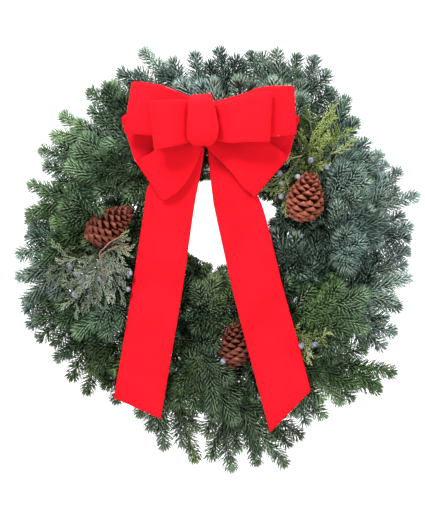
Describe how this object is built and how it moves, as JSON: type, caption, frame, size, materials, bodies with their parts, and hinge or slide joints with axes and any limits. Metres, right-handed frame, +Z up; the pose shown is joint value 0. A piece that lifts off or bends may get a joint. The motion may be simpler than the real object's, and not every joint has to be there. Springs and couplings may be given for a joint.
{
  "type": "fresh evergreen wreath",
  "caption": "Round hanging wreath of fir and juniper sprays on a wire clamp ring, with pine cones and a looped ribbon bow with two long tails.",
  "frame": {"origin": "where a hook bears: the underside of the clamp ring's outer wire at the top, in the ring's flat back plane", "axes": "+Z up, +Y towards the wall behind the wreath, front towards -Y, +X to a viewer's right"},
  "size_m": [0.555, 0.1415, 0.5892],
  "materials": {
    "ring_wire": "satin",
    "tie_wire": "satin",
    "red_velvet": "matte",
    "cone_scales": "satin",
    "needles_blue": "matte",
    "needles_green": "matte",
    "needles_dark": "matte",
    "juniper_yellow": "matte",
    "juniper_grey": "matte"
  },
  "bodies": {
    "root": {"ring_frame": "ring_wire", "bow_loops_back": "red_velvet", "bow_loops_front": "red_velvet", "bow_loops_low": "red_velvet", "bow_tails": "red_velvet", "bow_knot": "red_velvet", "bow_tie_wire": "tie_wire", "cone_left": "cone_scales", "cone_left_wire": "tie_wire", "cone_right": "cone_scales", "cone_right_wire": "tie_wire", "cone_bottom": "cone_scales", "cone_bottom_wire": "tie_wire", "juniper_right_upper": "juniper_yellow", "juniper_left": "juniper_grey", "juniper_right_lower": "juniper_yellow", "fir_outer_01": "needles_blue", "fir_outer_02": "needles_blue", "fir_outer_03": "needles_blue", "fir_outer_04": "needles_blue", "fir_outer_05": "needles_green", "fir_outer_06": "needles_green", "fir_outer_07": "needles_blue", "fir_outer_08": "needles_dark", "fir_outer_09": "needles_dark", "fir_outer_10": "needles_dark", "fir_outer_11": "needles_green", "fir_outer_12": "needles_blue", "fir_face_01": "needles_blue", "fir_face_02": "needles_blue", "fir_face_03": "needles_blue", "fir_face_04": "needles_blue", "fir_face_05": "needles_green", "fir_face_06": "needles_green", "fir_face_07": "needles_green", "fir_face_08": "needles_green", "fir_face_09": "needles_dark", "fir_face_10": "needles_dark", "fir_face_11": "needles_dark", "fir_face_12": "needles_green", "fir_inner_01": "needles_blue", "fir_inner_02": "needles_dark", "fir_inner_03": "needles_dark", "fir_inner_04": "needles_dark", "fir_inner_05": "needles_green", "fir_inner_06": "needles_green", "fir_inner_07": "needles_green", "fir_inner_08": "needles_dark", "fir_inner_09": "needles_dark", "fir_inner_10": "needles_dark", "fir_inner_11": "needles_green", "fir_inner_12": "needles_blue"}
  },
  "joints": []
}
